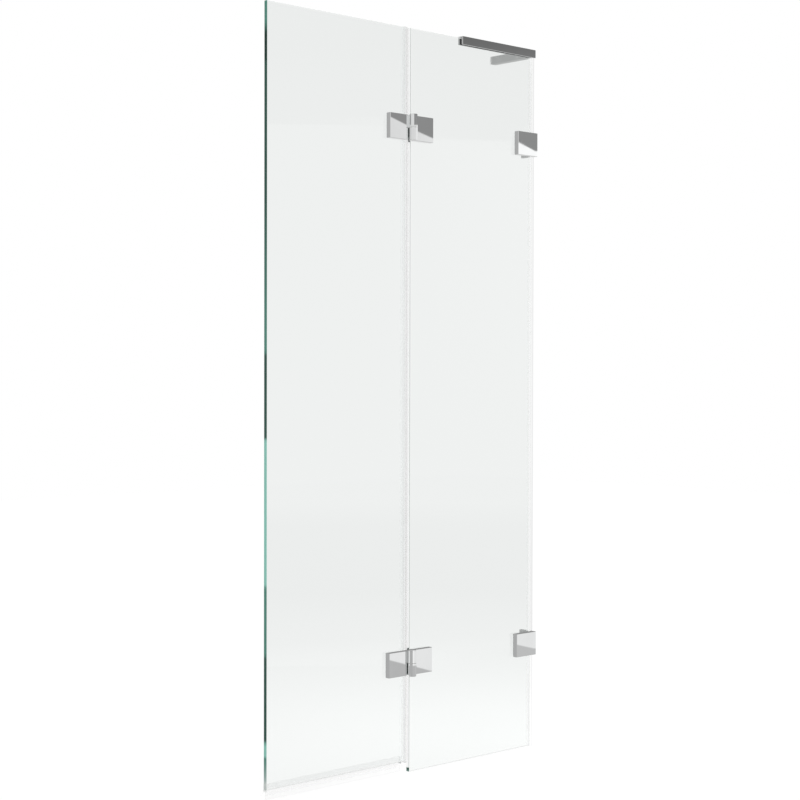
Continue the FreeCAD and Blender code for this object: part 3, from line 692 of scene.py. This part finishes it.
# a flat sheet between two corners, left open in edit mode
def startSheet(name, low, high):
    size = [(b - a) * mm for a, b in zip(low, high)]
    flat = size.index(0.0)
    turn = {0: (0.0, math.pi / 2, 0.0), 1: (-math.pi / 2, 0.0, 0.0), 2: (0.0, 0.0, 0.0)}[flat]
    wide, deep = {0: (size[2], size[1]), 1: (size[0], size[2]), 2: (size[0], size[1])}[flat]
    bpy.ops.object.select_all(action="DESELECT")
    middle = [(a + b) / 2.0 * mm for a, b in zip(low, high)]
    bpy.ops.mesh.primitive_plane_add(size=1.0, location=middle, rotation=turn)
    piece = bpy.context.object
    piece.name = name
    piece.data.name = name
    piece.scale = (wide, deep, 1.0)
    bpy.ops.object.transform_apply(location=True, rotation=True, scale=True)
    bpy.ops.object.mode_set(mode="EDIT")
    return piece


# even places between two ends, with the extra ones in place of those too near to them
def spread(low, high, step, extra=()):
    count = max(1, round((high - low) / step))
    even = [low + (high - low) * number / count for number in range(count + 1)]
    inner = [place for place in even[1:-1]
             if all(abs(place - other) > step / 4 for other in extra)]
    return sorted([low, high, *inner, *extra])


# the flat section is pushed along an axis, with a ring of points at every place
def drawOut(axis, places):
    bpy.ops.mesh.select_all(action="SELECT")
    for here, there in zip(places, places[1:]):
        push(**{axis.lower(): there - here})
    faceOut()


# soft pieces are never quite straight: the chosen points drift sideways along the length,
# by a long wave and a shorter one
driftSet = {"long": 0.6, "short": 0.4, "times": 2.3, "start": 1.1}


def drift(axis, places, side, amount, wave, wanted):
    s = driftSet
    for place in places:
        choose("VERT", lambda at, normal: abs(at[axes[axis]] - place) < near and wanted(at))
        turn = place / wave * 2.0 * math.pi
        swing = (s["long"] * math.sin(turn)
                 + s["short"] * math.sin(turn * s["times"] + s["start"]))
        shift(**{side.lower(): amount * swing})


# every piece ends with rounded edges, and is shaded smooth up to an angle in degrees
finishSet = {"segments": 2, "bevelFrom": 32.0, "smoothTo": 40.0}


def finishPiece(piece, softness, angle=finishSet["bevelFrom"]):
    bpy.ops.mesh.select_all(action="SELECT")
    bpy.ops.mesh.remove_doubles(threshold=merge)
    faceOut()
    bpy.ops.object.mode_set(mode="OBJECT")
    edges = piece.modifiers.new("softEdges", "BEVEL")
    edges.width = softness * mm
    edges.segments = finishSet["segments"]
    edges.limit_method = "ANGLE"
    edges.angle_limit = math.radians(angle)
    bpy.ops.object.modifier_apply(modifier="softEdges")
    bpy.ops.object.shade_smooth_by_angle(angle=math.radians(finishSet["smoothTo"]))


def dress(piece, finish, slotName, body, *stoodFor):
    piece.data.materials.clear()
    piece.data.materials.append(finishes[finish])
    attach(piece, body)
    if stoodFor:
        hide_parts(*stoodFor)
    return piece


# the strip on the door's joint edge, notched for the hinges, with a thin fin to the fixed pane
edgeSealSet = {"mouth": -390.0, "seat": -378.35, "web": -375.75, "finMiddle": -372.0,
               "tip": -368.5, "inner": 4.05, "outer": 4.86, "fin": 0.85,
               "finThins": (0.75, 0.7), "step": 60.0, "notchGap": 0.5, "drift": 0.12,
               "wave": 610.0, "round": 0.18}


def makeEdgeSeal():
    s = edgeSealSet
    low, high = boxOf("door_edge_seal")
    notches = []
    for hinge in ("lower", "upper"):
        under, over = boxOf(f"hinge_{hinge}_door_leaf")
        notches.append((under[2] - s["notchGap"], over[2] + s["notchGap"]))
    heights = spread(low[2], high[2], s["step"], [place for pair in notches for place in pair])
    piece = startSheet("edgeSeal", (s["seat"], -s["outer"], low[2]),
                       (s["web"], s["outer"], low[2]))
    cutAt("Y", (-s["inner"], -s["fin"], s["fin"], s["inner"]))
    drawOut("Z", heights)

    def grips(at, normal):
        notched = at.y < 0.0 and any(under < at.z < over for under, over in notches)
        return normal.x < -toward and abs(at.y) > s["inner"] and not notched

    choose("FACE", grips)
    push(x=s["mouth"] - s["seat"])
    choose("FACE", lambda at, normal: normal.x > toward and abs(at.y) < s["fin"])
    push(x=s["finMiddle"] - s["web"])
    thin(s["finThins"][0])
    push(x=s["tip"] - s["finMiddle"])
    thin(s["finThins"][1])
    drift("Z", heights, "Y", s["drift"], s["wave"], lambda at: at.x > s["tip"] - near)
    finishPiece(piece, s["round"])
    return dress(piece, "edgeStrip", "clear_seal", "door", "door_edge_seal")


# the strips between the fixed pane and the wall: two thin sides, bowed in a little
wallStripSet = {"mouth": -12.9, "seat": -6.95, "web": -5.85, "bowAt": -2.9, "wall": -0.02,
                "inner": 4.05, "outer": 4.9, "bow": 0.95, "step": 60.0, "drift": 0.1,
                "wave": 430.0, "round": 0.18}


def makeWallStrip(part):
    s = wallStripSet
    node = f"wall_seal_{part}"
    low, high = boxOf(node)
    heights = spread(low[2], high[2], s["step"])
    piece = startSheet(f"wallStrip_{part}", (s["seat"], -s["outer"], low[2]),
                       (s["web"], s["outer"], low[2]))
    cutAt("Y", (-s["inner"], s["inner"]))
    drawOut("Z", heights)
    choose("FACE", lambda at, normal: normal.x < -toward and abs(at.y) > s["inner"])
    push(x=s["mouth"] - s["seat"])
    choose("FACE", lambda at, normal: normal.x > toward and abs(at.y) > s["inner"])
    push(x=s["bowAt"] - s["web"])
    thin(s["bow"])
    push(x=s["wall"] - s["bowAt"])
    thin(1.0 / s["bow"])
    drift("Z", heights, "Y", s["drift"], s["wave"],
          lambda at: abs(at.x - s["bowAt"]) < near)
    finishPiece(piece, s["round"])
    return dress(piece, "wallStrip", "clear_seal", "screen", node)


# the channel under the door, whose sides thin towards the rim
footSet = {"inner": 4.05, "outer": 5.2, "rimOuter": 0.95, "web": 2.85, "step": 40.0,
           "round": 0.22}


def makeFootSeal():
    s = footSet
    low, high = boxOf("door_bottom_seal")
    places = spread(low[0], high[0], s["step"])
    piece = startSheet("footSeal", (low[0], -s["outer"], low[2]),
                       (low[0], s["outer"], low[2] + s["web"]))
    cutAt("Y", (-s["inner"], s["inner"]))
    drawOut("X", places)
    choose("FACE", lambda at, normal: normal.z > toward and abs(at.y) > s["inner"])
    push(z=high[2] - low[2] - s["web"])
    choose("VERT", lambda at, normal: at.z > high[2] - near and abs(at.y) > s["outer"] - near)
    thin(s["rimOuter"])
    finishPiece(piece, s["round"])
    return dress(piece, "footStrip", "clear_seal", "door", "door_bottom_seal")


# the soft lip under it, with a curved deflector on the wet side
lipSet = {"half": 3.95, "gap": 0.05, "thick": 0.94, "root": 1.1, "stem": 0.6, "rootDrop": 1.0,
          "stemSteps": 3, "taper": 0.62, "foot": 4.0, "step": 22.0, "drift": 0.35,
          "upperShare": 0.5, "wave": 190.0, "curveAt": (0.0, -10.64, 1.03), "curveSteps": 8,
          "curveTurn": 32.6, "round": 0.16}


def makeSoftLip():
    s = lipSet
    low, high = boxOf("door_bottom_lip")
    places = spread(low[0], high[0], s["step"])
    top = high[2] - s["gap"]
    under = top - s["thick"]
    piece = startSheet("softLip", (low[0], -s["half"], under), (low[0], s["half"], top))
    cutAt("Y", (-s["root"], s["root"]))
    drawOut("X", places)
    choose("FACE", lambda at, normal: normal.z < -toward and abs(at.y) < s["root"])
    push(z=-s["rootDrop"])
    thin(s["stem"] / s["root"])
    drop = (under - s["rootDrop"] - s["foot"]) / s["stemSteps"]
    for number in range(s["stemSteps"]):
        push(z=-drop)
    thin(s["taper"])
    drift("X", places, "Y", s["drift"], s["wave"], lambda at: at.z < s["foot"] + near)
    drift("X", places, "Y", s["drift"] * s["upperShare"], s["wave"],
          lambda at: abs(at.z - s["foot"] - drop) < near)
    choose("FACE", lambda at, normal: normal.y > toward and at.y > s["half"] - near)
    bpy.ops.mesh.spin(steps=s["curveSteps"], angle=math.radians(s["curveTurn"]),
                      center=tuple(part * mm for part in s["curveAt"]), axis=(1.0, 0.0, 0.0))
    finishPiece(piece, s["round"])
    return dress(piece, "softLip", "soft_seal", "door", "door_bottom_lip")


# the sheet in the brace's slot, folded over the top of the pane
linerSet = {"inner": 4.02, "thick": 0.78, "footGap": 0.05, "step": 50.0, "round": 0.12}


def makeLiner():
    s = linerSet
    low, high = boxOf("brace_liner")
    fold = high[2] - s["thick"]
    piece = startSheet("braceLinerSheet", (low[0], low[1], fold), (low[0], high[1], high[2]))
    cutAt("Y", (-s["inner"], s["inner"]))
    drawOut("X", spread(low[0], high[0], s["step"]))
    choose("FACE", lambda at, normal: normal.z < -toward and abs(at.y) > s["inner"])
    push(z=low[2] + s["footGap"] - fold)
    finishPiece(piece, s["round"])
    return dress(piece, "liner", "gasket", "screen", "brace_liner")


# thin sheets between the plates and the glass, with a hole for each bolt
gasketSet = {"gap": 0.02, "hole": 3.0, "holeSides": 28, "punch": 4.0, "round": 0.22,
             "bevelFrom": 50.0, "boltSpacing": 26.0, "bracketBolt": -34.0}


def makeGasket(name, node, holes):
    s = gasketSet
    low, high = boxOf(node)
    piece = startSheet(name, (low[0], low[1] + s["gap"], low[2]),
                       (high[0], low[1] + s["gap"], high[2]))
    drawOut("Y", (low[1] + s["gap"], high[1] - s["gap"]))
    bpy.ops.object.mode_set(mode="OBJECT")
    for x, z in holes:
        bpy.ops.object.select_all(action="DESELECT")
        bpy.ops.mesh.primitive_cylinder_add(
            vertices=s["holeSides"], radius=s["hole"] * mm, depth=s["punch"] * mm,
            location=(x * mm, low[1] * mm, z * mm), rotation=(math.pi / 2, 0.0, 0.0))
        punch = bpy.context.object
        bpy.ops.object.select_all(action="DESELECT")
        bpy.context.view_layer.objects.active = piece
        piece.select_set(True)
        hole = piece.modifiers.new("boltHole", "BOOLEAN")
        hole.object = punch
        hole.operation = "DIFFERENCE"
        hole.solver = "EXACT"
        bpy.ops.object.modifier_apply(modifier="boltHole")
        bpy.data.objects.remove(punch)
    bpy.ops.object.mode_set(mode="EDIT")
    finishPiece(piece, s["round"], s["bevelFrom"])
    return piece


# a copy with its own mesh, moved and kept at the origin
def copyTo(piece, name, x=0.0, y=0.0, z=0.0):
    bpy.ops.object.select_all(action="DESELECT")
    bpy.context.view_layer.objects.active = piece
    piece.select_set(True)
    bpy.ops.object.duplicate()
    other = bpy.context.object
    other.name = name
    other.data.name = name
    other.location = (x * mm, y * mm, z * mm)
    bpy.ops.object.transform_apply(location=True, rotation=True, scale=True)
    return other


def makeGaskets():
    s = gasketSet
    first = "hinge_lower_door_gasket"
    low, high = boxOf(first)
    middle = [(a + b) / 2.0 for a, b in zip(low, high)]
    half = s["boltSpacing"] / 2.0
    model = makeGasket("gasketLowerDoor", first,
                       [(middle[0], middle[2] - half), (middle[0], middle[2] + half)])
    sheets = [(model, "door", first)]
    for name, body, node in (("gasketLowerFixed", "screen", "hinge_lower_fixed_gasket"),
                             ("gasketUpperDoor", "door", "hinge_upper_door_gasket"),
                             ("gasketUpperFixed", "screen", "hinge_upper_fixed_gasket")):
        away = [there - here for here, there in zip(low, boxOf(node)[0])]
        sheets.append((copyTo(model, name, *away), body, node))
    low, high = boxOf("bracket_lower_gasket")
    model = makeGasket("gasketLowerBracket", "bracket_lower_gasket",
                       [(s["bracketBolt"], (low[2] + high[2]) / 2.0)])
    sheets.append((model, "screen", "bracket_lower_gasket"))
    rise = boxOf("bracket_upper_gasket")[0][2] - low[2]
    sheets.append((copyTo(model, "gasketUpperBracket", z=rise), "screen", "bracket_upper_gasket"))
    for sheet, body, node in sheets:
        dress(sheet, "gasket", "gasket", body, node)


# snap covers over the countersunk wall screws, nearly flush and slightly domed
coverSet = {"sides": 40, "radius": 5.5, "rim": 0.5, "cone": 1.7, "neck": 0.62, "sunk": 0.04,
            "dome": 0.1, "domeRings": ((0.7, 0.5), (1.4, 0.35), (1.6, 0.15)), "round": 0.08,
            "legFace": -14.4, "legHeight": 1493.3, "legAt": (40.0, 96.0),
            "flangeFace": -6.0, "flangeAt": 18.5, "flangeSpacing": 28.0, "flangeScale": 1.07}


def makeCovers():
    s = coverSet
    face = s["legFace"] + s["sunk"]
    bpy.ops.object.select_all(action="DESELECT")
    bpy.ops.mesh.primitive_cylinder_add(
        vertices=s["sides"], radius=s["radius"] * mm, depth=s["rim"] * mm,
        location=((face + s["rim"] / 2) * mm, s["legAt"][0] * mm, s["legHeight"] * mm),
        rotation=(0.0, math.pi / 2, 0.0))
    model = bpy.context.object
    model.name = "screwCoverLegNear"
    bpy.ops.object.transform_apply(location=True, rotation=True, scale=True)
    bpy.ops.object.mode_set(mode="EDIT")
    centre = (face, s["legAt"][0], s["legHeight"])
    choose("FACE", lambda at, normal: normal.x > toward)
    push(x=s["cone"])
    squeeze((1.0, s["neck"], s["neck"]), centre)
    choose("FACE", lambda at, normal: normal.x < -toward)
    for inset, rise in s["domeRings"]:
        bpy.ops.mesh.inset(thickness=inset * mm)
        shift(x=-s["dome"] * rise)
    finishPiece(model, s["round"])
    far = copyTo(model, "screwCoverLegFar", y=s["legAt"][1] - s["legAt"][0])
    covers = [model, far]
    for bracket in ("lower", "upper"):
        low, high = boxOf(f"bracket_{bracket}_body")
        for side, part in ((-0.5, "Low"), (0.5, "High")):
            z = (low[2] + high[2]) / 2.0 + side * s["flangeSpacing"]
            cover = copyTo(model, f"screwCover{bracket.capitalize()}{part}",
                           s["flangeFace"] - s["legFace"], s["flangeAt"] - s["legAt"][0],
                           z - s["legHeight"])
            bpy.ops.object.mode_set(mode="EDIT")
            bpy.ops.mesh.select_all(action="SELECT")
            grown = s["flangeScale"]
            squeeze((1.0, grown, grown), (s["flangeFace"], s["flangeAt"], z))
            bpy.ops.object.mode_set(mode="OBJECT")
            covers.append(cover)
    for cover in covers:
        dress(cover, "chrome", "chrome", "screen")


strips = [makeEdgeSeal(), *(makeWallStrip(part) for part in ("lower", "middle", "upper")),
          makeFootSeal(), makeSoftLip()]
print("strips made:", len(strips))
makeLiner()
makeGaskets()
makeCovers()
print("liner, gaskets and screw covers made")

# polished metal shows the studio as if these weren't there
for piece in strips + [node for name, node in nodes.items() if "glass" in name]:
    piece.visible_glossy = False
